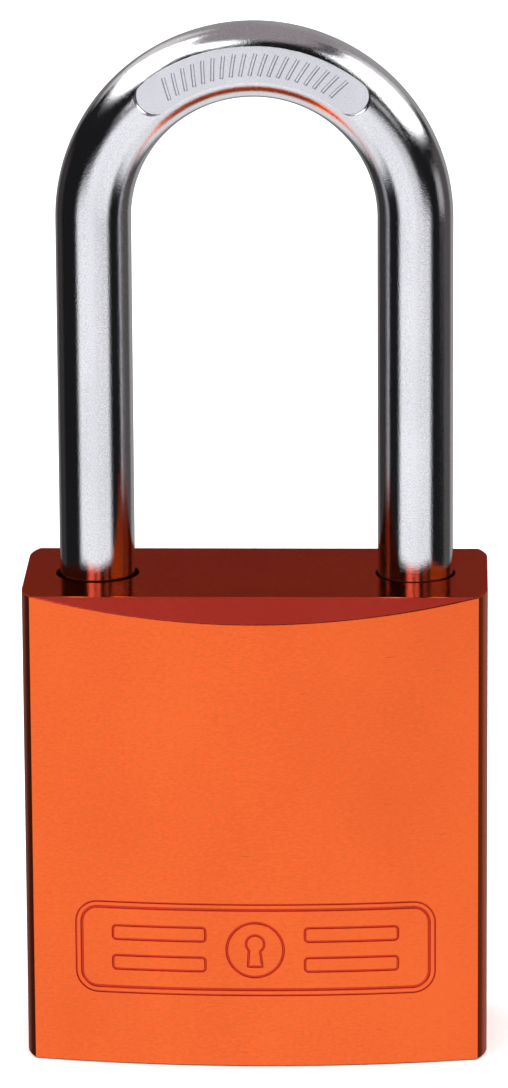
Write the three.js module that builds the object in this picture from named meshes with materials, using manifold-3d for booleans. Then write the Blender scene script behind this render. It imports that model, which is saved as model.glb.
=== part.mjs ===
// Safety padlock: an anodised aluminium block with a long round steel shackle, a pin cylinder in a
// round eccentric cartridge, and a turning cam that drives two balls into the shackle's legs.
//
// Millimetres, +Z up, X across the body's width, Y through its depth. The origin is the centre of
// the body's flat base. The toe leg is at -X, the sprung heel leg at +X.
//
// The parts stand with the shackle pushed down and the plug turned to open: the balls are drawn in,
// and the plug's pin chambers face -Y. A quarter turn of the plug, clockwise seen from above, brings
// its chambers round to the driver pins at -X and pushes the balls out into the legs' notches.
import * as THREE from "three";
import { mergeVertices } from "three/addons/utils/BufferGeometryUtils.js";
import Module from "manifold-3d";

const wasm = await Module();
wasm.setup();

// ---------------------------------------------------------------- driving dimensions

const BODY = {
  width: 40,
  height: 41.5,
  creaseX: 19.2, // where the bowed face meets the rounded corner
  creaseY: 8.2,
  bow: 2.0, // how far the middle of the face stands in front of the crease
  flatSide: 5.4, // half the depth of the flat narrow side
  chamferDrop: 1.93, // fall of the top chamfer at the middle of the face
};

// The rounded frame engraved low on the front face.
const ENGRAVING = {
  halfLength: 15.5,
  halfHeight: 4.1,
  corner: 1.9,
  band: 0.5,
  depth: 0.25,
  z: 10.5,
};

const SHACKLE = {
  wire: 3.25, // radius
  legX: 13.75,
  archZ: 72.85, // centre of the half-round arch
  toeTipZ: 30.5,
  heelTipZ: 18,
  tipChamfer: 0.6,
  grooveLift: 12.5, // the shackle's travel, and the height between notch and neck groove
};

// The shallow flat struck into the front of the arch, long and round-ended.
const CROWN_FLAT = { halfWidth: 1.6, halfAngle: 38, y: -2.83 };

const TOE_BORE = { radius: 3.6, bottomZ: 29 };
const HEEL_BORE = { radius: 3.45, bottomZ: 5 };

const BALL = {
  radius: 3,
  z: 35.5,
  boreRadius: 3.1,
  lockedX: 8.8, // distance of the ball's centre from the plug's axis when it is out in the notch
  toeTravel: 1.4, // the toe ball clears its leg
  heelTravel: 0.8, // the heel ball stays in its leg's channel, and so keeps the shackle captive
  cutterRadius: 3.15, // of the notches and the neck groove
  around: 20, // facets
  across: 12,
};

const HEEL_CHANNEL_X = 11.15; // the flat that the drawn-in heel ball runs along

const CAM = {
  bore: 6,
  lobe: 5.7,
  toeRecess: 4.3,
  heelRecess: 4.9,
  hub: 5.6,
  hubZ: 27.8,
  lobeZ: 32.3,
  topZ: 38.3,
  boreTopZ: 38.7,
};

const CARTRIDGE = {
  centreX: -2.6,
  radius: 8,
  bottomZ: 0.25,
  topZ: 26.2,
  clearance: 0.1,
  shoulderZ: 26.4, // roof of its bore in the body
};

const PLUG = {
  radius: 4.5,
  clearance: 0.07,
  flange: 4.95,
  flangeTopZ: 1.7,
  bottomZ: 0.35,
  topZ: 27.4,
  grooveRadius: 3.5,
  grooveZ: 26.28,
  grooveTopZ: 27.06,
  tangTopZ: 31.2,
  tangWidth: 6,
  tangThickness: 2.4,
  tangSlack: 0.1,
  chamfer: 0.2,
  flangeGap: 0.05, // above the flange
};

const KEYWAY = { width: 1.5, step: 0.4, nearY: -2.9, farY: 3.9, topZ: 24.5 };

const PINS = {
  count: 6,
  firstZ: 5,
  pitch: 3.1,
  radius: 1.3,
  chamberRadius: 1.4,
  keyEnd: 4.25, // outer end of a key pin, from the plug's axis
  chamberEnd: 0.4, // floor of the plug's chambers, from its axis
  keyLengths: [2.4, 3.0, 2.1, 3.2, 2.7, 2.2],
  keyTip: 0.45, // radius of the flat that rides on the key
  keyCone: 0.85, // length of the cone behind it
  keyChamfer: 0.2,
  driverStart: 4.62,
  driverLength: 2.9,
  driverChamfer: 0.1,
  headLength: 0.7, // of the driver's thick end at the shear line
  tailLength: 0.9, // of its thick end at the spring
  waistDepth: 0.35,
  springEnd: 9.82,
};

const COVER = {
  nearX: -9.9,
  farX: -10.3,
  halfWidth: 1.8,
  bottomZ: 3,
  topZ: 22.5,
  clearance: 0.06,
};
const CLIP = { inner: 3.62, outer: 5.3, bottomZ: 26.34, topZ: 27, openingDeg: 80 };
const RETAINING_PIN = {
  radius: 1,
  z: 24.2,
  outerX: -19.75,
  innerX: -8.5,
  clearance: 0.06,
  endGap: 0.1,
};
const SPRING = {
  wire: 0.35,
  coil: 2.25,
  bottomZ: 5.06,
  topZ: 15.7,
  turns: 8,
  perTurn: 10,
  sides: 6,
};
const FOLLOWER = {
  radius: 3.2,
  bottomZ: 15.8,
  topZ: 17.85,
  stem: 1.6,
  stemZ: 12.5,
  chamfer: 0.3,
};
const PIN_SPRING = { wire: 0.16, coil: 1.05, turns: 4, gap: 0.04, perTurn: 8, sides: 4 };

const ROUND = 40; // facets of a large bore or shaft
const MEDIUM = 32; // facets of the balls' bore and the notches
const SMALL = 16; // facets of a pin
const WIRE_FACETS = 28; // round the shackle's wire
const ARCH_STEPS = 26;
const GROOVE_STEPS = 8; // along the neck groove's arc
const CAM_STEPS = 72;
const OUTLINE_SEGMENTS = 14; // along each arc of the body's outline

const PAST = 1; // how far a cutting solid runs past the face that it cuts
const JOIN = 0.02; // how far two solids that are joined run into each other

// ---------------------------------------------------------------- materials

const metal = (color, roughness, metalness = 1) =>
  new THREE.MeshStandardMaterial({ color, roughness, metalness });
const anodised = metal(0xf0602c, 0.34);
const chrome = metal(0xd2d3d8, 0.14);
const nickel = metal(0xb9b5ab, 0.3);
const brass = metal(0xc8a452, 0.32);
const springSteel = metal(0x8d9095, 0.35);
const ballSteel = metal(0xc4c6ca, 0.12);

// ---------------------------------------------------------------- solids

// A closed three.js geometry as a manifold-3d solid.
function solid(geometry) {
  const bare = geometry.clone();
  bare.deleteAttribute("normal");
  bare.deleteAttribute("uv");
  const merged = mergeVertices(bare, 1e-4);
  return new wasm.Manifold(
    new wasm.Mesh({
      numProp: 3,
      vertProperties: merged.attributes.position.array,
      triVerts: new Uint32Array(merged.index.array),
    }),
  );
}

function geometryOf(made) {
  const mesh = made.getMesh();
  const positions = new Float32Array(mesh.numVert * 3);
  for (let i = 0; i < mesh.numVert; i++) {
    positions.set(mesh.vertProperties.subarray(i * mesh.numProp, i * mesh.numProp + 3), i * 3);
  }
  const geometry = new THREE.BufferGeometry();
  geometry.setAttribute("position", new THREE.BufferAttribute(positions, 3));
  geometry.setIndex(new THREE.BufferAttribute(mesh.triVerts, 1));
  geometry.computeVertexNormals();
  return geometry;
}

// A round bar from one height, x or y to another, along that axis and through the point given.
function barZ(radius, z0, z1, x = 0, y = 0, facets = ROUND) {
  const g = new THREE.CylinderGeometry(radius, radius, z1 - z0, facets);
  g.rotateX(Math.PI / 2);
  return solid(g.translate(x, y, (z0 + z1) / 2));
}

function barX(radius, x0, x1, y, z, facets = ROUND) {
  const g = new THREE.CylinderGeometry(radius, radius, Math.abs(x1 - x0), facets);
  g.rotateZ(Math.PI / 2);
  return solid(g.translate((x0 + x1) / 2, y, z));
}

function barY(radius, y0, y1, x, z, facets = ROUND) {
  const g = new THREE.CylinderGeometry(radius, radius, y1 - y0, facets);
  return solid(g.translate(x, (y0 + y1) / 2, z));
}

function block(low, high) {
  const size = high.map((v, i) => v - low[i]);
  const g = new THREE.BoxGeometry(...size);
  return solid(g.translate(...high.map((v, i) => (v + low[i]) / 2)));
}

// A shape in the XY plane, raised from one height to another and moved along Y.
function raised(shape, z0, z1, curveSegments = 12, y = 0) {
  const g = new THREE.ExtrudeGeometry(shape, {
    depth: z1 - z0,
    bevelEnabled: false,
    curveSegments,
  });
  return solid(g.translate(0, y, z0));
}

// A shape drawn in X and Z, standing between two values of y.
function upright(shape, y0, y1, curveSegments = 12) {
  const g = new THREE.ExtrudeGeometry(shape, {
    depth: y1 - y0,
    bevelEnabled: false,
    curveSegments,
  });
  g.rotateX(Math.PI / 2);
  return solid(g.translate(0, y1, 0));
}

// A profile of [radius, height] points turned about an upright axis at x.
function turned(points, x, facets) {
  const g = new THREE.LatheGeometry(
    points.map(([r, z]) => new THREE.Vector2(r, z)),
    facets,
  );
  g.rotateX(Math.PI / 2);
  return solid(g.translate(x, 0, 0));
}

class Helix extends THREE.Curve {
  constructor(radius, height, turns) {
    super();
    Object.assign(this, { radius, height, turns });
  }
  getPoint(t, target = new THREE.Vector3()) {
    const a = 2 * Math.PI * this.turns * t;
    return target.set(this.radius * Math.cos(a), this.radius * Math.sin(a), this.height * t);
  }
}

// A coil spring standing on the origin, its wire swept along a helix.
function coil(wire, radius, height, turns, perTurn, sides) {
  const circle = new THREE.EllipseCurve(0, 0, wire, wire);
  const section = new THREE.Shape(circle.getPoints(sides).slice(0, sides));
  return new THREE.ExtrudeGeometry(section, {
    steps: turns * perTurn,
    extrudePath: new Helix(radius, height - 2 * wire, turns),
    bevelEnabled: false,
  }).translate(0, 0, wire);
}

// ---------------------------------------------------------------- lock body

// Seen from above: two bowed faces, flat narrow sides, and a rounded corner at each crease.
function bodyOutline() {
  const { width, creaseX, creaseY, bow, flatSide } = BODY;
  const faceRadius = (creaseX ** 2 + bow ** 2) / (2 * bow);
  const faceCentre = faceRadius - creaseY - bow;
  const faceHalf = Math.asin(creaseX / faceRadius);
  const inset = width / 2 - creaseX;
  const run = creaseY - flatSide;
  const cornerRadius = (inset ** 2 + run ** 2) / (2 * inset);
  const cornerX = width / 2 - cornerRadius;
  const cornerTurn = Math.asin(run / cornerRadius);
  const up = Math.PI / 2;
  const shape = new THREE.Shape();
  shape.absarc(0, faceCentre, faceRadius, -up - faceHalf, -up + faceHalf);
  shape.absarc(cornerX, -flatSide, cornerRadius, -cornerTurn, 0);
  shape.absarc(cornerX, flatSide, cornerRadius, 0, cornerTurn);
  shape.absarc(0, -faceCentre, faceRadius, up - faceHalf, up + faceHalf);
  shape.absarc(-cornerX, flatSide, cornerRadius, Math.PI - cornerTurn, Math.PI);
  shape.absarc(-cornerX, -flatSide, cornerRadius, Math.PI, Math.PI + cornerTurn);
  return shape;
}

// The wedge that a top chamfer takes off, on the side of y that sign gives.
function chamferWedge(sign) {
  const { height, creaseY, bow, chamferDrop, width } = BODY;
  const reach = 3; // in bows past the crease, so that the wedge runs clear of the face
  const section = new THREE.Shape([
    new THREE.Vector2(creaseY, height),
    new THREE.Vector2(creaseY + reach * bow, height - reach * chamferDrop),
    new THREE.Vector2(creaseY + reach * bow, height + PAST),
    new THREE.Vector2(creaseY, height + PAST),
  ]);
  const g = new THREE.ExtrudeGeometry(section, { depth: width + 2 * PAST, bevelEnabled: false });
  g.translate(0, 0, -width / 2 - PAST);
  g.applyMatrix4(
    new THREE.Matrix4().makeBasis(
      new THREE.Vector3(0, 1, 0),
      new THREE.Vector3(0, 0, 1),
      new THREE.Vector3(1, 0, 0),
    ),
  );
  if (sign < 0) g.rotateZ(Math.PI);
  return solid(g);
}

// The engraved line is a ring of one depth that follows the bowed face: what lies between the face
// and a copy of the face set back by that depth.
function engravedLine() {
  const { halfLength, halfHeight, corner, band, depth, z } = ENGRAVING;
  const frame = (inset) => {
    const [x, y, r] = [halfLength - corner, halfHeight - corner, corner - inset];
    const up = Math.PI / 2;
    const shape = new THREE.Shape();
    shape.absarc(x, z - y, r, -up, 0);
    shape.absarc(x, z + y, r, 0, up);
    shape.absarc(-x, z + y, r, up, 2 * up);
    shape.absarc(-x, z - y, r, 2 * up, 3 * up);
    return shape;
  };
  const ring = frame(0);
  ring.holes.push(frame(band));
  const front = -BODY.creaseY - BODY.bow;
  return upright(ring, front - PAST, front + BODY.bow + PAST, 8).subtract(
    raised(bodyOutline(), -PAST, BODY.height, OUTLINE_SEGMENTS, depth),
  );
}

function lockBody() {
  const { height, width } = BODY;
  const cartridgeBore = CARTRIDGE.radius + CARTRIDGE.clearance;
  return raised(bodyOutline(), 0, height, OUTLINE_SEGMENTS)
    .subtract(chamferWedge(1))
    .subtract(chamferWedge(-1))
    .subtract(engravedLine())
    .subtract(barZ(TOE_BORE.radius, TOE_BORE.bottomZ, height + PAST, -SHACKLE.legX))
    .subtract(barZ(HEEL_BORE.radius, HEEL_BORE.bottomZ, height + PAST, SHACKLE.legX))
    .subtract(barZ(cartridgeBore, -PAST, CARTRIDGE.shoulderZ, CARTRIDGE.centreX))
    .subtract(barZ(CAM.bore, CARTRIDGE.shoulderZ - PAST, CAM.boreTopZ))
    .subtract(barX(BALL.boreRadius, -SHACKLE.legX, SHACKLE.legX, 0, BALL.z, MEDIUM))
    .subtract(
      barX(
        RETAINING_PIN.radius + RETAINING_PIN.clearance,
        -width / 2 - PAST,
        CARTRIDGE.centreX,
        0,
        RETAINING_PIN.z,
        SMALL,
      ),
    );
}

// ---------------------------------------------------------------- shackle

class Arch extends THREE.Curve {
  getPoint(t, target = new THREE.Vector3()) {
    const a = Math.PI * t;
    const r = SHACKLE.legX;
    return target.set(-r * Math.cos(a), 0, SHACKLE.archZ + r * Math.sin(a));
  }
}

function shackleArch() {
  const circle = new THREE.EllipseCurve(0, 0, SHACKLE.wire, SHACKLE.wire);
  const section = new THREE.Shape(circle.getPoints(WIRE_FACETS).slice(0, WIRE_FACETS));
  return solid(
    new THREE.ExtrudeGeometry(section, {
      steps: ARCH_STEPS,
      extrudePath: new Arch(),
      bevelEnabled: false,
    }),
  );
}

// A leg's profile from its chamfered tip up to the arch, with any groove's points in between.
function leg(x, tipZ, groove = []) {
  const { wire, tipChamfer, archZ } = SHACKLE;
  const profile = [
    [0, tipZ],
    [wire - tipChamfer, tipZ],
    [wire, tipZ + tipChamfer],
    ...groove,
    [wire, archZ + JOIN],
    [0, archZ + JOIN],
  ];
  return turned(profile, x, WIRE_FACETS);
}

// The round neck near the heel's tip: at full lift the heel ball sits here and the shackle can turn.
function neckGroove() {
  const depth = BALL.lockedX + BALL.cutterRadius - (SHACKLE.legX - SHACKLE.wire);
  const z = BALL.z - SHACKLE.grooveLift;
  const centre = SHACKLE.wire - depth + BALL.cutterRadius;
  const half = Math.acos((centre - SHACKLE.wire) / BALL.cutterRadius);
  return Array.from({ length: GROOVE_STEPS + 1 }, (_, i) => {
    const a = half * ((2 * i) / GROOVE_STEPS - 1);
    return [centre - BALL.cutterRadius * Math.cos(a), z + BALL.cutterRadius * Math.sin(a)];
  });
}

function crownFlat() {
  const { legX, archZ, wire } = SHACKLE;
  const { halfWidth, halfAngle, y } = CROWN_FLAT;
  const up = Math.PI / 2;
  const from = up - THREE.MathUtils.degToRad(halfAngle);
  const to = up + THREE.MathUtils.degToRad(halfAngle);
  const shape = new THREE.Shape();
  const roundEnd = (a, start) => {
    const [x, z] = [legX * Math.cos(a), archZ + legX * Math.sin(a)];
    shape.absarc(x, z, halfWidth, start, start + Math.PI);
  };
  shape.absarc(0, archZ, legX + halfWidth, from, to);
  roundEnd(to, to);
  shape.absarc(0, archZ, legX - halfWidth, to, from, true);
  roundEnd(from, from + Math.PI);
  return upright(shape, -wire - PAST, y);
}

function shackle() {
  const { legX, wire, toeTipZ, heelTipZ, grooveLift } = SHACKLE;
  const side = wire + PAST;
  const notch = (x) => barY(BALL.cutterRadius, -side, side, x, BALL.z, MEDIUM);
  const channel = block(
    [legX - side, -side, BALL.z - grooveLift],
    [HEEL_CHANNEL_X, side, BALL.z],
  );
  return shackleArch()
    .add(leg(-legX, toeTipZ))
    .add(leg(legX, heelTipZ, neckGroove()))
    .subtract(crownFlat())
    .subtract(notch(-BALL.lockedX))
    .subtract(notch(BALL.lockedX))
    .subtract(channel);
}

function springFollower() {
  const { radius, bottomZ, topZ, stem, stemZ, chamfer } = FOLLOWER;
  return turned(
    [
      [0, stemZ],
      [stem - chamfer, stemZ],
      [stem, stemZ + chamfer],
      [stem, bottomZ],
      [radius, bottomZ],
      [radius, topZ - chamfer],
      [radius - chamfer, topZ],
      [0, topZ],
    ],
    SHACKLE.legX,
    WIRE_FACETS,
  );
}

function shackleSpring() {
  const { wire, coil: radius, bottomZ, topZ, turns, perTurn, sides } = SPRING;
  return coil(wire, radius, topZ - bottomZ, turns, perTurn, sides);
}

// ---------------------------------------------------------------- cylinder

const chamberZ = (i) => PINS.firstZ + i * PINS.pitch;

function cylinderHousing() {
  const { centreX, radius, bottomZ, topZ } = CARTRIDGE;
  const plugBore = PLUG.radius + PLUG.clearance;
  let made = barZ(radius, bottomZ, topZ, centreX)
    .subtract(barZ(plugBore, bottomZ - PAST, topZ + PAST))
    .subtract(
      barZ(PLUG.flange + PLUG.clearance, bottomZ - PAST, PLUG.flangeTopZ + PLUG.flangeGap),
    );
  const { nearX, halfWidth, clearance } = COVER;
  const outside = centreX - radius - PAST;
  made = made.subtract(
    block(
      [outside, -halfWidth - clearance, COVER.bottomZ - clearance],
      [nearX + clearance, halfWidth + clearance, COVER.topZ + clearance],
    ),
  );
  for (let i = 0; i < PINS.count; i++) {
    made = made.subtract(barX(PINS.chamberRadius, outside, 0, 0, chamberZ(i), SMALL));
  }
  return made.subtract(
    barX(
      RETAINING_PIN.radius + RETAINING_PIN.clearance,
      outside,
      RETAINING_PIN.innerX + RETAINING_PIN.endGap,
      0,
      RETAINING_PIN.z,
      SMALL,
    ),
  );
}

// The keyway's outline: a slot that steps twice to one side and back, as a warded key needs.
function keywayOutline() {
  const { width, step, nearY, farY } = KEYWAY;
  const third = (farY - nearY) / 3;
  const half = width / 2;
  const right = [
    [half, nearY],
    [half, nearY + third],
    [half + step, nearY + third + step],
    [half + step, nearY + 2 * third - step],
    [half, nearY + 2 * third],
    [half, farY],
  ];
  const left = right.map(([x, y]) => [x - width, y]).reverse();
  return new THREE.Shape([...right, ...left].map(([x, y]) => new THREE.Vector2(x, y)));
}

function plug() {
  const { radius, flange, flangeTopZ, bottomZ, topZ, chamfer } = PLUG;
  let made = turned(
    [
      [0, bottomZ],
      [flange - chamfer, bottomZ],
      [flange, bottomZ + chamfer],
      [flange, flangeTopZ],
      [radius, flangeTopZ],
      [radius, PLUG.grooveZ],
      [PLUG.grooveRadius, PLUG.grooveZ],
      [PLUG.grooveRadius, PLUG.grooveTopZ],
      [radius, PLUG.grooveTopZ],
      [radius, topZ],
      [0, topZ],
    ],
    0,
    ROUND,
  )
    .add(
      block(
        [-PLUG.tangThickness / 2, -PLUG.tangWidth / 2, topZ - PAST],
        [PLUG.tangThickness / 2, PLUG.tangWidth / 2, PLUG.tangTopZ],
      ),
    )
    .subtract(raised(keywayOutline(), bottomZ - PAST, KEYWAY.topZ));
  for (let i = 0; i < PINS.count; i++) {
    made = made.subtract(
      barY(PINS.chamberRadius, -radius - PAST, -PINS.chamberEnd, 0, chamberZ(i), SMALL),
    );
  }
  return made;
}

// A brass key pin along -Y: flat at the shear line, coned where it rides on the key.
function keyPin(i) {
  const { radius, keyEnd, keyLengths, keyTip, keyCone, keyChamfer } = PINS;
  const tip = keyEnd - keyLengths[i];
  const g = new THREE.LatheGeometry(
    [
      [0, tip],
      [keyTip, tip],
      [radius, tip + keyCone],
      [radius, keyEnd - keyChamfer],
      [radius - keyChamfer, keyEnd],
      [0, keyEnd],
    ].map(([r, y]) => new THREE.Vector2(r, y)),
    SMALL,
  );
  g.rotateZ(Math.PI);
  return solid(g.translate(0, 0, chamberZ(i)));
}

// A steel driver pin along -X, with the thinned waist of a spool pin.
function driverPin(i) {
  const { radius, driverStart, driverLength, driverChamfer, headLength, tailLength } = PINS;
  const end = driverStart + driverLength;
  const waist = radius - PINS.waistDepth;
  const g = new THREE.LatheGeometry(
    [
      [0, driverStart],
      [radius - driverChamfer, driverStart],
      [radius, driverStart + driverChamfer],
      [radius, driverStart + headLength],
      [waist, driverStart + headLength + driverChamfer],
      [waist, end - tailLength - driverChamfer],
      [radius, end - tailLength],
      [radius, end],
      [0, end],
    ].map(([r, y]) => new THREE.Vector2(r, y)),
    SMALL,
  );
  g.rotateZ(Math.PI / 2);
  return solid(g.translate(0, 0, chamberZ(i)));
}

function pinSpring(i) {
  const { wire, coil: radius, turns, gap, perTurn, sides } = PIN_SPRING;
  const start = PINS.driverStart + PINS.driverLength + gap;
  const g = coil(wire, radius, PINS.springEnd - start, turns, perTurn, sides);
  g.rotateY(-Math.PI / 2);
  return solid(g.translate(-start, 0, chamberZ(i)));
}

function plugClip() {
  const { inner, outer, bottomZ, topZ, openingDeg } = CLIP;
  const half = THREE.MathUtils.degToRad(openingDeg / 2);
  const ring = new THREE.Shape();
  ring.absarc(0, 0, outer, half, 2 * Math.PI - half);
  ring.absarc(0, 0, inner, 2 * Math.PI - half, half, true);
  return raised(ring, bottomZ, topZ, MEDIUM);
}

// ---------------------------------------------------------------- locking cam

// The cam's radius rises evenly from each recess to the lobes at +Y and -Y, so that a ball moves in
// step with the plug's turn. The heel's recess is at +X, the toe's at -X.
function camOutline() {
  const points = Array.from({ length: CAM_STEPS }, (_, i) => {
    const a = (2 * Math.PI * i) / CAM_STEPS;
    const fromX = Math.acos(Math.abs(Math.cos(a))) / (Math.PI / 2);
    const recess = Math.cos(a) > 0 ? CAM.heelRecess : CAM.toeRecess;
    const r = recess + (CAM.lobe - recess) * fromX;
    return new THREE.Vector2(r * Math.cos(a), r * Math.sin(a));
  });
  return new THREE.Shape(points);
}

function lockingCam() {
  const x = PLUG.tangThickness / 2 + PLUG.tangSlack;
  const y = PLUG.tangWidth / 2 + PLUG.tangSlack;
  const slot = block([-x, -y, CAM.hubZ - PAST], [x, y, PLUG.tangTopZ + PLUG.tangSlack]);
  return raised(camOutline(), CAM.lobeZ - JOIN, CAM.topZ)
    .add(barZ(CAM.hub, CAM.hubZ, CAM.lobeZ))
    .subtract(slot);
}

// ---------------------------------------------------------------- assembly

const lock = new THREE.Group();

function place(name, made, material) {
  const mesh = new THREE.Mesh(
    made instanceof THREE.BufferGeometry ? made : geometryOf(made),
    material,
  );
  mesh.name = name;
  lock.add(mesh);
  return mesh;
}

place("lock_body", lockBody(), anodised);
place("shackle", shackle(), chrome);
place("spring_follower", springFollower(), brass);
place("shackle_spring", shackleSpring(), springSteel).position.set(
  SHACKLE.legX,
  0,
  SPRING.bottomZ,
);

place("cylinder_housing", cylinderHousing(), nickel);
place("plug", plug(), nickel);
place("plug_clip", plugClip(), springSteel);
place("locking_cam", lockingCam(), brass);
place(
  "chamber_cover",
  block(
    [COVER.farX, -COVER.halfWidth, COVER.bottomZ],
    [COVER.nearX, COVER.halfWidth, COVER.topZ],
  ),
  brass,
);
place(
  "retaining_pin",
  barX(RETAINING_PIN.radius, RETAINING_PIN.outerX, RETAINING_PIN.innerX, 0, RETAINING_PIN.z, SMALL),
  springSteel,
);

for (let i = 0; i < PINS.count; i++) {
  place(`key_pin_${i + 1}`, keyPin(i), brass);
  place(`driver_pin_${i + 1}`, driverPin(i), springSteel);
  place(`pin_spring_${i + 1}`, pinSpring(i), springSteel);
}

const ball = new THREE.SphereGeometry(BALL.radius, BALL.around, BALL.across);
place("toe_ball", ball, ballSteel).position.set(-BALL.lockedX + BALL.toeTravel, 0, BALL.z);
place("heel_ball", ball, ballSteel).position.set(BALL.lockedX - BALL.heelTravel, 0, BALL.z);

export default lock;
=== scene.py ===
import math

import bpy
import bmesh
from mathutils import Matrix, Vector


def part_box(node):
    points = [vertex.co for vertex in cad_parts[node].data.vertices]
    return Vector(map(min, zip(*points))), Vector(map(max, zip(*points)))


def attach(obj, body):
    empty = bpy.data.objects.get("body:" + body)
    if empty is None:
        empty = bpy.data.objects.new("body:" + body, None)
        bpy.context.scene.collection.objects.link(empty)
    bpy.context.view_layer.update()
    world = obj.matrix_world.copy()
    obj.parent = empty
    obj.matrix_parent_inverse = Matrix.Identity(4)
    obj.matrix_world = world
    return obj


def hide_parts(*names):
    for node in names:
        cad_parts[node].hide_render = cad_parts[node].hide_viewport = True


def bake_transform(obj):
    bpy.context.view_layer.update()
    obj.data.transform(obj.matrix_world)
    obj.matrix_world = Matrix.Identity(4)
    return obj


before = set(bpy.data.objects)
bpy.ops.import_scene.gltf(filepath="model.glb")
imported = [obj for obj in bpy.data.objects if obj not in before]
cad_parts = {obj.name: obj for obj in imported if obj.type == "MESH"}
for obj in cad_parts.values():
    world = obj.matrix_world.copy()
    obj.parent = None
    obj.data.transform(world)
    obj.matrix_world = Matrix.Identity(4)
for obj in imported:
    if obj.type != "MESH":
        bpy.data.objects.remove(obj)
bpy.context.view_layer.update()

MM = 0.001

# ---------------------------------------------------------------- sizes

_, body_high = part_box("lock_body")
rod_low, rod_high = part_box("shackle")
toe_ball_low, toe_ball_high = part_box("toe_ball")
housing_low, housing_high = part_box("cylinder_housing")
pin_low, pin_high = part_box("retaining_pin")

# The body: bowed faces that meet the rounded corners at a crease, and a chamfered flat top.
HALF_WIDTH = body_high.x
HALF_DEPTH = body_high.y
HEIGHT = body_high.z
CREASE_X = HALF_WIDTH - 0.8 * MM
CREASE_Y = HALF_DEPTH - 2.0 * MM
FLAT_SIDE = 5.4 * MM
CHAMFER_DROP = 1.93 * MM
FACE_RADIUS = (CREASE_X**2 + (HALF_DEPTH - CREASE_Y) ** 2) / (2 * (HALF_DEPTH - CREASE_Y))
CORNER_RUN = CREASE_Y - FLAT_SIDE
CORNER_RADIUS = ((HALF_WIDTH - CREASE_X) ** 2 + CORNER_RUN**2) / (2 * (HALF_WIDTH - CREASE_X))
EDGE = 0.06 * MM
EDGE_STEPS = 6
CREASE_SOFTNESS = 0.10 * MM

# The shackle, and the notches in its legs that the balls stand in.
WIRE = rod_high.y
LEG_X = rod_high.x - WIRE
ARCH_Z = rod_high.z - WIRE - LEG_X
TOE_TIP_Z = 30.5 * MM
HEEL_TIP_Z = rod_low.z
BALL_Z = (toe_ball_low.z + toe_ball_high.z) / 2
NOTCH_X = 8.8 * MM
NOTCH_RADIUS = 3.15 * MM
CHANNEL_X = 11.15 * MM
LIFT = 12.5 * MM
FLAT_Y = 2.87 * MM
FLAT_HALF = 1.525 * MM
FLAT_ANGLE = math.radians(36.7)

# The bores in the body.
TOE_BORE = 3.6 * MM
TOE_BORE_FLOOR = 29 * MM
HEEL_BORE = 3.45 * MM
HEEL_BORE_FLOOR = 5 * MM
HOUSING_X = (housing_low.x + housing_high.x) / 2
HOUSING_BORE = 8.1 * MM
HOUSING_MOUTH = 0.2 * MM
SHOULDER_Z = 26.4 * MM
CAM_BORE = 6.0 * MM
CAM_BORE_TOP = 38.7 * MM
BALL_BORE = 3.1 * MM
PIN_Z = (pin_low.z + pin_high.z) / 2
PIN_BORE = 1.06 * MM
PIN_MOUTH = 0.1 * MM
PAST = 1 * MM

# ---------------------------------------------------------------- mesh helpers


def mesh_object(name, verts, faces):
    mesh = bpy.data.meshes.new(name)
    mesh.from_pydata([tuple(v) for v in verts], [], faces)
    mesh.validate()
    mesh.shade_smooth()
    obj = bpy.data.objects.new(name, mesh)
    bpy.context.scene.collection.objects.link(obj)
    return obj


def clean(obj, merge=1e-7):
    """Joins points closer than the merge distance, and turns every face outward."""
    bm = bmesh.new()
    bm.from_mesh(obj.data)
    bmesh.ops.remove_doubles(bm, verts=bm.verts, dist=merge)
    bmesh.ops.dissolve_degenerate(bm, edges=bm.edges, dist=merge)
    bmesh.ops.recalc_face_normals(bm, faces=bm.faces)
    bm.to_mesh(obj.data)
    bm.free()
    return obj


def loft(rings, closed_loop=False):
    """Faces of rings of equal length, joined one to the next, with flat ends unless it closes."""
    n = len(rings[0])
    verts = [p for ring in rings for p in ring]
    faces = []
    spans = len(rings) if closed_loop else len(rings) - 1
    for i in range(spans):
        a, b = i * n, (i + 1) % len(rings) * n
        for j in range(n):
            k = (j + 1) % n
            faces.append((a + j, a + k, b + k, b + j))
    if not closed_loop:
        faces.append(tuple(reversed(range(n))))
        faces.append(tuple(range(len(verts) - n, len(verts))))
    return verts, faces


def turned(profile, axis_point, axis="Z", sides=64):
    """A profile of (radius, distance along the axis) turned about that axis."""
    rings = []
    for radius, along in profile:
        ring = []
        for j in range(sides):
            a = 2 * math.pi * j / sides
            u, v = radius * math.cos(a), radius * math.sin(a)
            local = {"Z": (u, v, along), "X": (along, u, v), "Y": (v, along, u)}[axis]
            ring.append(Vector(local) + Vector(axis_point))
        rings.append(ring)
    return loft(rings)


def cutter(name, verts, faces, slot=0):
    """A closed mesh to cut with. The faces it leaves behind get the slot's finish."""
    obj = clean(mesh_object(name, verts, faces))
    for polygon in obj.data.polygons:
        polygon.material_index = slot
    return obj


def cut(target, cutters):
    """Cuts each cutter out of the target and keeps the result as its mesh."""
    for other in cutters:
        modifier = target.modifiers.new("cut", "BOOLEAN")
        modifier.operation = "DIFFERENCE"
        modifier.solver = "EXACT"
        modifier.object = other
    graph = bpy.context.evaluated_depsgraph_get()
    made = bpy.data.meshes.new_from_object(target.evaluated_get(graph))
    target.modifiers.clear()
    target.data = made
    for other in cutters:
        bpy.data.objects.remove(other)


def finish_surface(obj, angle=32):
    """Smooth shading between edges sharper than the angle."""
    obj.data.shade_smooth()
    obj.data.set_sharp_from_angle(angle=math.radians(angle))
    weighted = obj.modifiers.new("weighted", "WEIGHTED_NORMAL")
    weighted.keep_sharp = True
    weighted.weight = 100
    return obj


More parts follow.
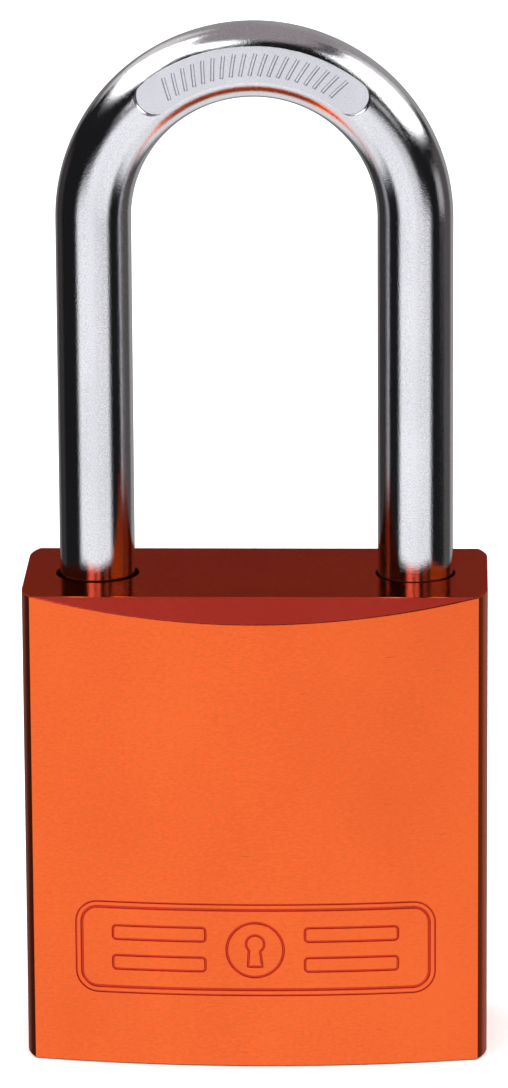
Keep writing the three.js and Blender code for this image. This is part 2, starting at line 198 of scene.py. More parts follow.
def tube_ring(centre, side, up, radius, sides):
    """One ring of a tube, in the plane of its side and up directions."""
    return [
        centre
        + side * (radius * math.cos(2 * math.pi * j / sides))
        + up * (radius * math.sin(2 * math.pi * j / sides))
        for j in range(sides)
    ]


# ---------------------------------------------------------------- lock body

BODY_FINISHES = ("anodised", "engraved", "bored", "milled_top_painted_shade", "milled_chamfer_painted_shade")
FACES, ENGRAVED_PAINTED_SHADE, BORED_PAINTED_SHADE, MILLED_TOP_PAINTED_SHADE, MILLED_CHAMFER_PAINTED_SHADE = range(len(BODY_FINISHES))


def half_depth(x):
    """Half the body's depth at x: the bowed face, and beyond the crease the rounded corner."""
    x = min(abs(x), HALF_WIDTH)
    if x <= CREASE_X:
        return math.sqrt(FACE_RADIUS**2 - x * x) - (FACE_RADIUS - HALF_DEPTH)
    along = x - (HALF_WIDTH - CORNER_RADIUS)
    return FLAT_SIDE + math.sqrt(max(CORNER_RADIUS**2 - along * along, 0.0))


def face_lean(x):
    """The y part of the outline's outward normal at x."""
    x = min(abs(x), HALF_WIDTH)
    if x <= CREASE_X:
        return math.sqrt(1 - (x / FACE_RADIUS) ** 2)
    along = (x - (HALF_WIDTH - CORNER_RADIUS)) / CORNER_RADIUS
    return math.sqrt(max(1 - along * along, 0.0))


def top_height(y):
    """The top: flat in the middle, a chamfer beyond each crease, and a soft edge between."""
    flat = HEIGHT
    slope = HEIGHT - (abs(y) - CREASE_Y) * CHAMFER_DROP / (HALF_DEPTH - CREASE_Y)
    overlap = max(CREASE_SOFTNESS - abs(flat - slope), 0.0)
    return min(flat, slope) - overlap * overlap / (4 * CREASE_SOFTNESS)


def edge_fall(x, y):
    """How far a rounded edge has fallen at a point of the top or the base."""
    inset = min(HALF_WIDTH - abs(x), (half_depth(x) - abs(y)) * face_lean(x))
    if inset >= EDGE:
        return 0.0
    return EDGE - math.sqrt(max(EDGE**2 - (EDGE - max(inset, 0.0)) ** 2, 0.0))


def edge_insets():
    """How far in from the outline the points of a rounded edge lie."""
    return [EDGE * (1 - math.cos(math.pi / 2 * k / EDGE_STEPS)) for k in range(EDGE_STEPS + 1)]


def body_ring(x):
    """The body's outline in Y and Z at one x, from the middle of the base up the front and over."""
    depth = half_depth(x)
    least_lean = 0.05
    lean = max(face_lean(x), least_lean)
    insets = [inset / lean for inset in edge_insets()]
    edge_ys = [depth - min(inset, depth / 2) for inset in insets]
    inner = edge_ys[-1]
    soft = [CREASE_Y + CREASE_SOFTNESS * k / 2 for k in (2, 1, 0, -1, -2)]
    wide = [min(y, inner) for y in soft]
    half_way = CREASE_Y / 2 if CREASE_Y / 2 < inner else inner / 2
    near = edge_ys + wide + [half_way]
    top = [(-y, top_height(y) - edge_fall(x, y)) for y in near]
    base = [(-y, edge_fall(x, y)) for y in reversed(edge_ys)]
    front = base + top
    back = [(-y, z) for y, z in reversed(front)]
    return [Vector((x, y, z)) for y, z in front + back]


def body_stations():
    """The x of each ring: even over the face, closer at the crease, and closest at the corner."""
    face_steps, corner_steps = 30, 10
    edge = [HALF_WIDTH - inset for inset in edge_insets()]
    reach = edge[-1] - CREASE_X
    corner = [CREASE_X + reach * math.sin(math.pi / 2 * k / corner_steps)
              for k in range(1, corner_steps)]
    face = [CREASE_X * k / face_steps for k in range(1, face_steps + 1)]
    crease = [CREASE_X - 0.35 * MM, CREASE_X - 0.15 * MM]
    right = sorted(set(face + crease + corner + edge))
    return [-x for x in reversed(right)] + [0.0] + right


def on_front(p):
    """A point given as (x, z), on the body's front."""
    return Vector((p.x, -half_depth(p.x), p.y))


def rounded_path(points, radius, arc_steps=10, spacing=0.6 * MM):
    """A closed path through corner points, each rounded to the radius, as (x, z) pairs."""
    path = []
    count = len(points)
    for i in range(count):
        p = Vector(points[i])
        before = (Vector(points[i - 1]) - p).normalized()
        after = (Vector(points[(i + 1) % count]) - p).normalized()
        half = before.angle(after) / 2
        reach = radius / math.tan(half)
        centre = p + (before + after).normalized() * (radius / math.sin(half))
        start, end = p + before * reach - centre, p + after * reach - centre
        turn = start.angle_signed(end)
        for k in range(arc_steps + 1):
            a = -turn * k / arc_steps
            c, s = math.cos(a), math.sin(a)
            path.append(centre + Vector((start.x * c - start.y * s, start.x * s + start.y * c)))
    return spread(path, spacing)


def spread(path, spacing):
    """The closed path with points added wherever two are further apart than the spacing."""
    out = []
    for i, p in enumerate(path):
        q = path[(i + 1) % len(path)]
        steps = max(1, math.ceil((q - p).length / spacing))
        out += [p.lerp(q, k / steps) for k in range(steps)]
    return out


def circle_path(x, z, radius, steps, start=0.0, sweep=2 * math.pi):
    """Points round a circle, or round the part of it that the sweep covers, as (x, z) pairs."""
    return [
        Vector((x + radius * math.cos(start + sweep * k / steps),
                z + radius * math.sin(start + sweep * k / steps)))
        for k in range(steps)
    ]


def groove(name, path, width, depth, place, inward, slot, closed=True):
    """A cutter for a groove along a path on a surface: place maps the path's points onto it, and
    inward gives the direction into the metal there."""
    n = len(path)
    wall, foot = 0.25, 0.45
    rings = []
    for i, p in enumerate(path):
        here = place(p)
        ahead = place(path[(i + 1) % n] if closed else path[min(i + 1, n - 1)])
        behind = place(path[i - 1] if closed else path[max(i - 1, 0)])
        along = (ahead - behind).normalized()
        down = inward(p)
        side = along.cross(down).normalized()
        half = width / 2
        section = [(-half, -depth), (-half, wall * depth), (-foot * half, depth),
                   (foot * half, depth), (half, wall * depth), (half, -depth)]
        rings.append([here + side * s + down * d for s, d in section])
    verts, faces = loft(rings, closed_loop=closed)
    return cutter(name, verts, faces, slot)


def front_marks():
    """Engraving on the front: a frame of two lines, a keyhole in a ring, and two bars each side."""
    centre_z = 10.5 * MM
    frame_x, frame_z, corner = 15.5 * MM, 4.1 * MM, 1.9 * MM
    line_gap = 0.5 * MM
    fine, medium, broad, broadest = 0.16 * MM, 0.22 * MM, 0.24 * MM, 0.26 * MM
    depth = 0.11 * MM
    ring = 2.45 * MM
    bar_x, bar_rise, bar_corner = 8.3 * MM, 1.35 * MM, 0.3 * MM
    bar_length, bar_height = 8.0 * MM, 1.24 * MM

    def rectangle(x, z, half_x, half_z):
        return [(x - half_x, z - half_z), (x + half_x, z - half_z),
                (x + half_x, z + half_z), (x - half_x, z + half_z)]

    outer = rectangle(0, centre_z, frame_x, frame_z)
    inner = rectangle(0, centre_z, frame_x - line_gap, frame_z - line_gap)
    paths = [
        (rounded_path(outer, corner), fine),
        (rounded_path(inner, corner - line_gap), broadest),
        (circle_path(0, centre_z, ring, 48), broad),
    ]
    for side in (-1, 1):
        for level in (-1, 1):
            bar = rectangle(side * bar_x, centre_z + level * bar_rise,
                            bar_length / 2, bar_height / 2)
            paths.append((rounded_path(bar, bar_corner, arc_steps=5), medium))
    bow, bow_rise = 0.78 * MM, 0.55 * MM
    foot, foot_drop = 0.62 * MM, 1.5 * MM
    neck = math.radians(34)
    keyhole = circle_path(0, centre_z + bow_rise, bow, 30,
                          start=-math.pi / 2 + neck, sweep=2 * math.pi - 2 * neck)
    keyhole += [Vector((x, centre_z - foot_drop)) for x in (-foot, foot)]
    paths.append((spread(keyhole, 0.4 * MM), medium))

    def inward(p):
        return Vector((-p.x / FACE_RADIUS, face_lean(p.x), 0)).normalized()

    # The grooves take the engraved finish. Its darker red is painted shade inside them.
    return [
        groove(f"mark_{i}", path, width, depth, on_front, inward, ENGRAVED_PAINTED_SHADE)
        for i, (path, width) in enumerate(paths)
    ]


def leg_bore(name, x, radius, bottom):
    """A bore from the top with a small chamfer round its mouth."""
    flare, above = 0.05 * MM, HEIGHT + 3 * PAST
    profile = [(0.0, bottom), (radius, bottom), (radius, HEIGHT - flare),
               (radius + flare, HEIGHT), (radius + flare, above), (0.0, above)]
    # Its walls take the near-black bored finish, which is painted shade inside the hole.
    return cutter(name, *turned(profile, (x, 0, 0), sides=96), slot=BORED_PAINTED_SHADE)


def lock_body():
    """The drilled block, with the engraving cut into its front."""
    body = clean(mesh_object("lock_body_block", *loft([body_ring(x) for x in body_stations()])))
    cartridge = [(0, -3 * PAST), (HOUSING_BORE + HOUSING_MOUTH, -3 * PAST),
                 (HOUSING_BORE + HOUSING_MOUTH, 0), (HOUSING_BORE, HOUSING_MOUTH),
                 (HOUSING_BORE, SHOULDER_Z), (0, SHOULDER_Z)]
    cam = [(0, SHOULDER_Z - PAST), (CAM_BORE, SHOULDER_Z - PAST), (CAM_BORE, CAM_BORE_TOP),
           (0, CAM_BORE_TOP)]
    balls = [(0, -LEG_X), (BALL_BORE, -LEG_X), (BALL_BORE, LEG_X), (0, LEG_X)]
    pin = [(0, -HALF_WIDTH - PAST), (PIN_BORE + PIN_MOUTH, -HALF_WIDTH - PAST),
           (PIN_BORE + PIN_MOUTH, -HALF_WIDTH), (PIN_BORE, -HALF_WIDTH + PIN_MOUTH),
           (PIN_BORE, HOUSING_X), (0, HOUSING_X)]
    # The walls of every bore take the near-black bored finish, which is painted shade inside the
    # holes.
    cutters = [
        leg_bore("toe_bore", -LEG_X, TOE_BORE, TOE_BORE_FLOOR),
        leg_bore("heel_bore", LEG_X, HEEL_BORE, HEEL_BORE_FLOOR),
        cutter("cartridge_bore", *turned(cartridge, (HOUSING_X, 0, 0), sides=128), slot=BORED_PAINTED_SHADE),
        cutter("cam_bore", *turned(cam, (0, 0, 0), sides=64), slot=BORED_PAINTED_SHADE),
        cutter("ball_bore", *turned(balls, (0, 0, BALL_Z), axis="X", sides=48), slot=BORED_PAINTED_SHADE),
        cutter("pin_bore", *turned(pin, (0, 0, PIN_Z), axis="X", sides=40), slot=BORED_PAINTED_SHADE),
    ]
    for name in BODY_FINISHES:
        body.data.materials.append(MATERIALS[name])
    cut(body, cutters + front_marks())
    # Faces that point up take the top's or the chamfer's copy of the anodised finish. Each copy has
    # a finer milled grain, and a colour that paints the shade those faces take under the studio
    # light.
    level, sloping = 0.9, 0.3
    for polygon in body.data.polygons:
        if polygon.material_index == FACES and polygon.normal.z > sloping:
            polygon.material_index = MILLED_TOP_PAINTED_SHADE if polygon.normal.z > level else MILLED_CHAMFER_PAINTED_SHADE
    return finish_surface(body)


# ---------------------------------------------------------------- shackle

ROD_FINISHES = ("chrome", "struck")
STRUCK = ROD_FINISHES.index("struck")


def leg_profile(tip_z, neck=False):
    """(z, radius) down a leg: the chamfered tip, and the heel's round neck."""
    points = [(tip_z, WIRE - 0.75 * MM), (tip_z + 0.12 * MM, WIRE - 0.5 * MM),
              (tip_z + 0.5 * MM, WIRE - 0.08 * MM), (tip_z + 0.7 * MM, WIRE)]
    if neck:
        centre_z = BALL_Z - LIFT
        reach = LEG_X - NOTCH_X
        half = math.acos((reach - WIRE) / NOTCH_RADIUS)
        steps = 16
        for k in range(steps + 1):
            a = half * (2 * k / steps - 1)
            points.append((centre_z + NOTCH_RADIUS * math.sin(a),
                           reach - NOTCH_RADIUS * math.cos(a)))
    return points


def rod_path():
    """(centre, outward direction in XZ, radius) along the rod from the heel's tip to the toe's."""
    out = []
    for z, radius in leg_profile(HEEL_TIP_Z, neck=True):
        out.append((Vector((LEG_X, 0, z)), Vector((1, 0, 0)), radius))
    straight = 24
    top_of_neck = out[-1][0].z
    for k in range(1, straight):
        z = top_of_neck + (ARCH_Z - top_of_neck) * k / straight
        out.append((Vector((LEG_X, 0, z)), Vector((1, 0, 0)), WIRE))
    bend = 96
    for k in range(bend + 1):
        a = math.pi * k / bend
        outward = Vector((math.cos(a), 0, math.sin(a)))
        out.append((Vector((0, 0, ARCH_Z)) + outward * LEG_X, outward, WIRE))
    tip = leg_profile(TOE_TIP_Z)
    for k in range(1, straight):
        z = ARCH_Z + (tip[-1][0] - ARCH_Z) * k / straight
        out.append((Vector((-LEG_X, 0, z)), Vector((-1, 0, 0)), WIRE))
    for z, radius in reversed(tip):
        out.append((Vector((-LEG_X, 0, z)), Vector((-1, 0, 0)), radius))
    return out


def arch_point(p):
    """A point given as (angle from the top, distance out from the rod's centre line)."""
    angle, out = p
    r = LEG_X + out
    return Vector((r * math.sin(angle), -FLAT_Y, ARCH_Z + r * math.cos(angle)))


def crown_flat():
    """The cutter for the flat struck into the front of the arch, with a cove round its edge."""
    steps, round_steps = 60, 16

    def outline(margin, y):
        half = FLAT_HALF + margin
        sweep = [FLAT_ANGLE * (2 * k / steps - 1) for k in range(steps + 1)]
        turn = [math.pi / 2 - math.pi * k / round_steps for k in range(1, round_steps)]
        right_end = [(FLAT_ANGLE + half * math.cos(t) / LEG_X, half * math.sin(t)) for t in turn]
        left_end = [(-angle, -out) for angle, out in right_end]
        top = [(angle, half) for angle in sweep]
        bottom = [(-angle, -half) for angle in sweep]
        points = [arch_point(p) for p in top + right_end + bottom + left_end]
        return [Vector((p.x, y, p.z)) for p in points]

    cove = [(0.32, 2.0), (0.30, 0.45), (0.26, 0.25), (0.20, 0.14), (0.13, 0.06), (0.06, 0.015),
            (0.0, 0.0)]
    rings = [outline(margin * MM, -FLAT_Y - rise * MM) for margin, rise in cove]
    return cutter("crown_flat", *loft(rings), slot=STRUCK)


def crown_marks():
    """A row of short slanted strokes on the flat."""
    strokes = []
    count, width, depth = 19, 0.34 * MM, 0.17 * MM
    first, reach, lean = math.radians(-32), math.radians(64), math.radians(1.1)
    stroke = [(-1, -0.95 * MM), (-0.5, -0.48 * MM), (0, 0.0), (0.5, 0.48 * MM), (1, 0.95 * MM)]
    for k in range(count):
        a = first + reach * k / (count - 1)
        path = [Vector((a + lean * share, out)) for share, out in stroke]
        strokes.append(groove(f"stroke_{k}", path, width, depth, arch_point,
                              lambda p: Vector((0, 1, 0)), STRUCK, closed=False))
    return strokes


def shackle():
    """The bent rod, with its struck flat, the two ball notches and the heel's long channel."""
    sides = 96
    front = Vector((0, -1, 0))
    rings = [tube_ring(centre, out, front, radius, sides) for centre, out, radius in rod_path()]
    rod = clean(mesh_object("shackle_rod", *loft(rings)))
    for name in ROD_FINISHES:
        rod.data.materials.append(MATERIALS[name])
    past = WIRE + PAST
    notch = [(0, -past), (NOTCH_RADIUS, -past), (NOTCH_RADIUS, past), (0, past)]
    corners = [(LEG_X - past, -past), (CHANNEL_X, -past), (CHANNEL_X, past), (LEG_X - past, past)]
    channel = [[Vector((x, y, z)) for x, y in corners] for z in (BALL_Z - LIFT, BALL_Z)]
    cutters = [crown_flat()] + crown_marks() + [
        cutter("toe_notch", *turned(notch, (-NOTCH_X, 0, BALL_Z), axis="Y", sides=64)),
        cutter("heel_notch", *turned(notch, (NOTCH_X, 0, BALL_Z), axis="Y", sides=64)),
        cutter("heel_channel", *loft(channel)),
    ]
    cut(rod, cutters)
    return finish_surface(rod, angle=40)


# ---------------------------------------------------------------- springs


def coil(name, axis, start, end, radius, wire, turns):
    """A coil spring between two distances along X or Z, with closed turns at both ends."""
    closed_ends, touching = 0.75, 1.04
    per_turn, sides = 28, 12
    steps = turns * per_turn
    length = abs(end - start) - 2 * wire
    direction = 1 if end > start else -1
    pitch_turns = turns - 2 * closed_ends
    close = 2 * wire * closed_ends * touching
    rise = length / turns / (2 * math.pi)
    rings = []
    for k in range(steps + 1):
        t = turns * k / steps
        if t < closed_ends:
            along = close * t / closed_ends
        elif t > turns - closed_ends:
            along = length - close * (turns - t) / closed_ends
        else:
            along = close + (length - 2 * close) * (t - closed_ends) / pitch_turns
        a = 2 * math.pi * t
        out = Vector((math.cos(a), math.sin(a), 0))
        centre = out * radius + Vector((0, 0, wire + along))
        tangent = Vector((-math.sin(a) * radius, math.cos(a) * radius, rise))
        up = tangent.normalized().cross(out).normalized()
        ring = tube_ring(centre, out, up, wire, sides)
        if axis == "X":
            ring = [Vector((start + direction * p.z, p.y, p.x)) for p in ring]
        else:
            ring = [Vector((p.x, p.y, start + p.z)) for p in ring]
        rings.append(ring)
    return clean(mesh_object(name, *loft(rings)), merge=1e-8)


def move(obj, offset):
    obj.data.transform(Matrix.Translation(offset))


# ---------------------------------------------------------------- materials


class Graph:
    """A small way to write a node tree: each call makes one node and returns its output."""

    def __init__(self, tree):
        self.tree = tree
        tree.nodes.clear()

    def node(self, kind, inputs=(), output=0, **settings):
        made = self.tree.nodes.new(kind)
        for key, value in settings.items():
            setattr(made, key, value)
        pairs = inputs.items() if isinstance(inputs, dict) else enumerate(inputs)
        for key, value in pairs:
            if isinstance(value, bpy.types.NodeSocket):
                self.tree.links.new(value, made.inputs[key])
            else:
                made.inputs[key].default_value = value
        return made.outputs[output] if len(made.outputs) else made

    def math(self, operation, *values):
        return self.node("ShaderNodeMath", values, operation=operation)

    def smooth(self, value, low, high, to_low=0.0, to_high=1.0):
        return self.node("ShaderNodeMapRange", [value, low, high, to_low, to_high],
                         interpolation_type="SMOOTHSTEP")

    def stretched(self, scale):
        """The object's own coordinates, scaled by three numbers."""
        place = self.node("ShaderNodeTexCoord", output="Object")
        return self.node("ShaderNodeMapping", {0: place, 3: scale})

    def noise(self, vector, scale, detail=2.0, roughness=0.5):
        return self.node("ShaderNodeTexNoise", {"Vector": vector, "Scale": scale,
                                                "Detail": detail, "Roughness": roughness})

    def mix(self, factor, a, b):
        return self.node("ShaderNodeMix", {0: factor, 6: a, 7: b}, output=2, data_type="RGBA")

    def bump(self, height, strength, distance):
        return self.node("ShaderNodeBump", {"Strength": strength, "Distance": distance,
                                            "Height": height})


def material(name):
    """A new material with its node graph and its shader, for the caller to fill in."""
    made = bpy.data.materials.new(name)
    made.use_nodes = True
    graph = Graph(made.node_tree)
    shader = made.node_tree.nodes.new("ShaderNodeBsdfPrincipled")
    output = made.node_tree.nodes.new("ShaderNodeOutputMaterial")
    made.node_tree.links.new(shader.outputs[0], output.inputs[0])
    return made, graph, shader


def plug_in(graph, shader, **sockets):
    """Links outputs of the graph to the shader's colour, roughness or normal."""
    names = {"base": "Base Color", "rough": "Roughness", "normal": "Normal"}
    for key, value in sockets.items():
        graph.tree.links.new(value, shader.inputs[names[key]])


def anodised(name, tint, shade, roughness, edge_tint=(1, 1, 1, 1), coat=0.2,
             grain=(2600, 3000, 7500)):
    """Dyed anodised aluminium: a fine grain, pale cloudiness and a few short dark nicks along X."""
    made, graph, shader = material(name)
    grit = graph.noise(graph.stretched(grain), 1.0, detail=3.0, roughness=0.6)
    cloud = graph.noise(graph.stretched((90, 90, 60)), 1.0, detail=2.0)
    nicks = graph.noise(graph.stretched((420, 3000, 6500)), 1.0, detail=1.0)
    wear = graph.math("MULTIPLY_ADD", grit, 0.65, graph.math("MULTIPLY", cloud, 0.35))
    dyed = graph.mix(graph.smooth(wear, 0.35, 0.65), shade, tint)
    dark = tuple(0.75 * v for v in shade[:3]) + (1,)
    plug_in(
        graph, shader,
        base=graph.mix(graph.smooth(nicks, 0.76, 0.84), dyed, dark),
        rough=graph.smooth(grit, 0.3, 0.7, roughness - 0.03, roughness + 0.04),
        normal=graph.bump(grit, 0.3, 0.004 * MM),
    )
    shader.inputs["Metallic"].default_value = 1.0
    shader.inputs["Specular Tint"].default_value = edge_tint
    shader.inputs["Coat Weight"].default_value = coat
    shader.inputs["Coat Roughness"].default_value = 0.06
    shader.inputs["Coat IOR"].default_value = 1.6
    return made


def plated(name, tint, shade, roughness, speckle=0.0):
    """Bright plate, faintly clouded, with the fine speckle of the metal under it."""
    made, graph, shader = material(name)
    speck = graph.noise(graph.stretched((1, 1, 1)), 8000, detail=3.0, roughness=0.6)
    cloud = graph.noise(graph.stretched((1, 1, 0.4)), 260, detail=2.0)
    worn = graph.math("MULTIPLY_ADD", speck, 0.7, graph.math("MULTIPLY", cloud, 0.3))
    plug_in(
        graph, shader,
        base=graph.mix(graph.smooth(worn, 0.35, 0.65), shade, tint),
        rough=graph.smooth(speck, 0.3, 0.75, roughness * 0.8, roughness * 1.25),
    )
    if speckle:
        plug_in(graph, shader, normal=graph.bump(speck, 1.0, speckle * MM))
    shader.inputs["Metallic"].default_value = 1.0
    return made


FINE_GRIT = (5000, 2500, 5000)
MATERIALS = {
    "anodised": anodised(
        "anodised_orange", (1.0, 0.152, 0.026, 1), (0.89, 0.126, 0.021, 1),
        roughness=0.22, edge_tint=(0.75, 0.62, 0.60, 1)),
    # The top and the chamfer have a finer milled grain and their own roughness. Their base colour
    # and edge tint differ from the front's and paint in the darker, redder shade these faces show
    # under the studio light.
    "milled_top_painted_shade": anodised(
        "anodised_top_painted_shade", (1.0, 0.165, 0.033, 1), (0.90, 0.145, 0.028, 1),
        roughness=0.14, edge_tint=(0.30, 0.237, 0.33, 1), coat=0.07, grain=FINE_GRIT),
    "milled_chamfer_painted_shade": anodised(
        "anodised_chamfer_painted_shade", (1.0, 0.092, 0.060, 1), (0.96, 0.080, 0.050, 1),
        roughness=0.20, coat=0.07, grain=FINE_GRIT),
    # The engraved grooves have a rougher cut surface, and a darker red than the face that paints
    # the shade inside them.
    "engraved": anodised(
        "anodised_engraved_painted_shade", (0.82, 0.050, 0.022, 1), (0.68, 0.040, 0.018, 1),
        roughness=0.36),
    # The walls of the bores are near black. This is painted shade deep in the holes.
    "bored": anodised(
        "anodised_bore_painted_shade", (0.12, 0.012, 0.006, 1), (0.09, 0.010, 0.006, 1),
        roughness=0.5, coat=0),
    "chrome": plated(
        "chrome_plate", (0.85, 0.85, 0.88, 1), (0.69, 0.69, 0.72, 1),
        roughness=0.08, speckle=0.010),
    "struck": plated(
        "struck_chrome", (0.79, 0.79, 0.83, 1), (0.66, 0.66, 0.70, 1),
        roughness=0.20, speckle=0.010),
    "nickel": plated(
        "nickel_plate", (0.70, 0.67, 0.60, 1), (0.62, 0.59, 0.53, 1),
        roughness=0.26, speckle=0.004),
    "brass": plated(
        "turned_brass", (0.78, 0.56, 0.22, 1), (0.70, 0.48, 0.17, 1),
        roughness=0.24, speckle=0.004),
    "spring_steel": plated(
        "spring_steel", (0.46, 0.47, 0.50, 1), (0.38, 0.39, 0.42, 1), roughness=0.28),
    "ball_steel": plated(
        "ball_steel", (0.72, 0.73, 0.75, 1), (0.68, 0.69, 0.71, 1), roughness=0.08),
}

# ---------------------------------------------------------------- pieces

body = lock_body()
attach(body, "case")
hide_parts("lock_body")

rod = shackle()
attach(rod, "shackle")
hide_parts("shackle")

spring_low, spring_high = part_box("shackle_spring")
HEEL_SPRING_WIRE, HEEL_SPRING_TURNS = 0.35 * MM, 9
heel_spring = coil(
    "heel_spring", "Z", spring_low.z, spring_high.z,
    (spring_high.y - spring_low.y) / 2 - HEEL_SPRING_WIRE, HEEL_SPRING_WIRE, HEEL_SPRING_TURNS)
move(heel_spring, Vector((LEG_X, 0, 0)))
heel_spring.data.materials.append(MATERIALS["spring_steel"])
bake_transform(heel_spring)
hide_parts("shackle_spring")

PIN_SPRING_WIRE, PIN_SPRING_TURNS = 0.16 * MM, 5
for i in range(1, 7):
    low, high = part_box(f"pin_spring_{i}")
    made = coil(
        f"driver_spring_{i}", "X", high.x, low.x,
        (high.y - low.y) / 2 - PIN_SPRING_WIRE, PIN_SPRING_WIRE, PIN_SPRING_TURNS)
    move(made, Vector((0, 0, (low.z + high.z) / 2)))
    made.data.materials.append(MATERIALS["spring_steel"])
    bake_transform(made)
    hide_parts(f"pin_spring_{i}")

NODE_FINISH = {
    "cylinder_housing": "nickel", "plug": "nickel", "plug_clip": "spring_steel",
    "locking_cam": "brass", "chamber_cover": "brass", "retaining_pin": "spring_steel",
    "spring_follower": "brass", "toe_ball": "ball_steel", "heel_ball": "ball_steel",
}
for i in range(1, 7):
    NODE_FINISH[f"key_pin_{i}"] = "brass"
    NODE_FINISH[f"driver_pin_{i}"] = "spring_steel"
for name, finish in NODE_FINISH.items():
    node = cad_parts[name]
    node.data.materials.clear()
    node.data.materials.append(MATERIALS[finish])
    for polygon in node.data.polygons:
        polygon.material_index = 0
    bevel = node.modifiers.new("edge", "BEVEL")
    bevel.width = 0.05 * MM
    bevel.segments = 2
    bevel.limit_method = "ANGLE"
    bevel.angle_limit = math.radians(40)
    node.data.shade_smooth()
    node.data.set_sharp_from_angle(angle=math.radians(35))

# ---------------------------------------------------------------- stage, light and camera


def floor():
    """A wide pale floor just under the lock's base."""
    reach, level = 6.0, -0.1 * MM
    corners = [(-reach, -reach), (reach, -reach), (reach, reach), (-reach, reach)]
    made = mesh_object("floor", [(x, y, level) for x, y in corners], [(0, 1, 2, 3)])
    paint, _, shader = material("pale_floor")
    shader.inputs["Base Color"].default_value = (0.86, 0.86, 0.86, 1)
    shader.inputs["Roughness"].default_value = 0.9
    shader.inputs["Specular IOR Level"].default_value = 0.0
    made.data.materials.append(paint)
    made.visible_glossy = False


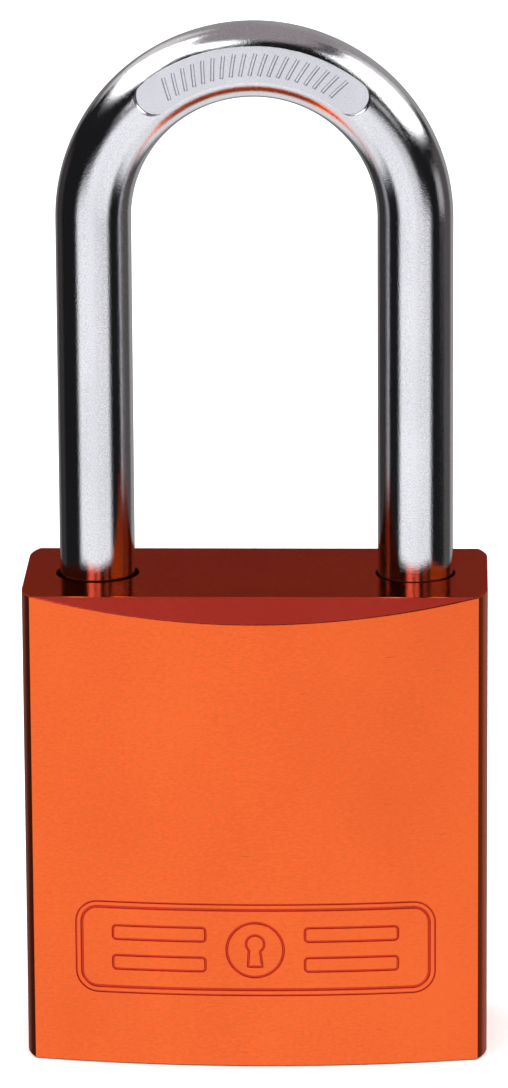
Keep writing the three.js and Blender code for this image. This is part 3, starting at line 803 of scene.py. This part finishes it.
def surroundings():
    """The studio: a pale table, a softbox above each side, lamps in front and a dim grey room. The
    camera sees a plain pale backdrop instead."""
    world = bpy.data.worlds.new("studio")
    bpy.context.scene.world = world
    world.use_nodes = True
    graph = Graph(world.node_tree)
    direction = graph.node("ShaderNodeTexCoord", output="Generated")
    parts = world.node_tree.nodes.new("ShaderNodeSeparateXYZ")
    world.node_tree.links.new(direction, parts.inputs[0])
    x, y, z = parts.outputs
    azimuth = graph.math("ARCTAN2", x, graph.math("MULTIPLY", y, -1.0))
    elevation = graph.math("ARCSINE", z)

    def band(value, low, high, soft):
        soft = math.radians(soft)
        low, high = math.radians(low), math.radians(high)
        rise = graph.smooth(value, low - soft, low + soft)
        fall = graph.smooth(value, high - soft, high + soft, 1.0, 0.0)
        return graph.math("MULTIPLY", rise, fall)

    def panel(left, right, low, high, colour, soft=3.0):
        """Light between two turns from the front and two heights above the horizon, in degrees."""
        across, up = band(azimuth, left, right, soft), band(elevation, low, high, soft)
        return graph.mix(graph.math("MULTIPLY", across, up), (0, 0, 0, 1), colour + (1,))

    round_left, round_right, down, overhead = -400, 400, -100, 100
    white, grey = (1.02, 1.02, 1.05), (0.33, 0.29, 0.30)
    softbox, box_edge = (2.6, 2.6, 2.6), 1.2
    panels = [
        panel(-48, 8, down, -4, white, soft=5),  # the table in front
        panel(-24, 3, -20, 2, white, soft=4),
        panel(-10, 48, down, -9, white, soft=5),
        panel(0, 26, -20, 2, (0.75, 0.75, 0.77), soft=4),
        panel(80, 100, -9, 5, (0.45, 0.43, 0.43), soft=2),  # a card beside the lock
        panel(-84, 84, down, -30, (0.92, 0.92, 0.94), soft=5),  # the table below and behind
        panel(round_left, round_right, down, -40, (0.85, 0.85, 0.86), soft=8),
        panel(-130, -46, 33, 65, softbox, soft=box_edge),  # the left softbox and its rim
        panel(-50, -14, 52, 66, softbox, soft=box_edge),
        panel(-160, -126, 20, 52, (0.75, 0.72, 0.72)),
        panel(47, 112, 19, 56, softbox, soft=box_edge),  # the right softbox and its rim
        panel(108, 134, 22, 52, (0.7, 0.67, 0.67)),
        panel(round_left, 28, 66, overhead, grey, soft=2),  # ceiling and back wall
        panel(24, round_right, 65, overhead, grey, soft=2),
        panel(118, round_right, 40, 70, grey, soft=4),
        panel(round_left, -118, 40, 70, grey, soft=4),
        panel(134, round_right, -34, 45, (0.36, 0.35, 0.35), soft=4),
        panel(round_left, -160, -34, 45, (0.32, 0.31, 0.31), soft=4),
        panel(-162, -140, -34, 45, (0.20, 0.19, 0.19), soft=4),
        panel(98, 136, -34, 12, (0.10, 0.09, 0.09)),
        panel(-140, -108, -34, 8, (0.045, 0.04, 0.04)),
        panel(-25, -7, 10, 26, (2.3, 2.2, 2.2), soft=1.5),  # lamps over the camera
        panel(0, 10, 10, 26, (2.1, 2.0, 2.0), soft=1.5),
        panel(25, 36, 11, 20, (0.7, 0.67, 0.67), soft=1.5),
    ]
    darkness = (0.012, 0.012, 0.013, 1)
    total = panels[0]
    for light in panels[1:] + [darkness]:
        total = graph.node("ShaderNodeMix", {0: 1.0, 6: total, 7: light}, output=2,
                           data_type="RGBA", blend_type="LIGHTEN")
    seen = graph.node("ShaderNodeLightPath", output="Is Camera Ray")
    backdrop = (1, 1, 1, 1)
    background = graph.node("ShaderNodeBackground", {0: graph.mix(seen, total, backdrop), 1: 1.0})
    graph.node("ShaderNodeOutputWorld", {0: background})


def sky_lamp():
    """Even light from above for the floor, left out of sharp reflections."""
    data = bpy.data.lights.new("sky_lamp", "SUN")
    data.energy = 3.5
    data.angle = math.radians(100)
    made = bpy.data.objects.new("sky_lamp", data)
    made.visible_glossy = False
    bpy.context.scene.collection.objects.link(made)


def camera():
    """A long lens, a little above the lock and a little to its right."""
    distance, lens, sensor = 0.5668, 217.0, 36
    elevation, azimuth, roll = math.radians(14.80), math.radians(1.80), math.radians(-0.3665)
    target = Vector((-0.195, 0, 44.03)) * MM
    back = Vector((math.sin(azimuth) * math.cos(elevation),
                   -math.cos(azimuth) * math.cos(elevation), math.sin(elevation)))
    right = (-back).cross(Vector((0, 0, 1))).normalized()
    up = right.cross(-back)
    rolled_right = right * math.cos(roll) + up * math.sin(roll)
    rolled_up = up * math.cos(roll) - right * math.sin(roll)
    data = bpy.data.cameras.new("camera")
    data.sensor_width = sensor
    data.lens = lens
    data.clip_start, data.clip_end = 0.01, 50
    made = bpy.data.objects.new("camera", data)
    turn = Matrix((rolled_right, rolled_up, back)).transposed().to_4x4()
    made.matrix_world = Matrix.Translation(target + back * distance) @ turn
    bpy.context.scene.collection.objects.link(made)
    bpy.context.scene.camera = made


floor()
surroundings()
sky_lamp()
camera()
bpy.context.scene.view_settings.view_transform = "Standard"
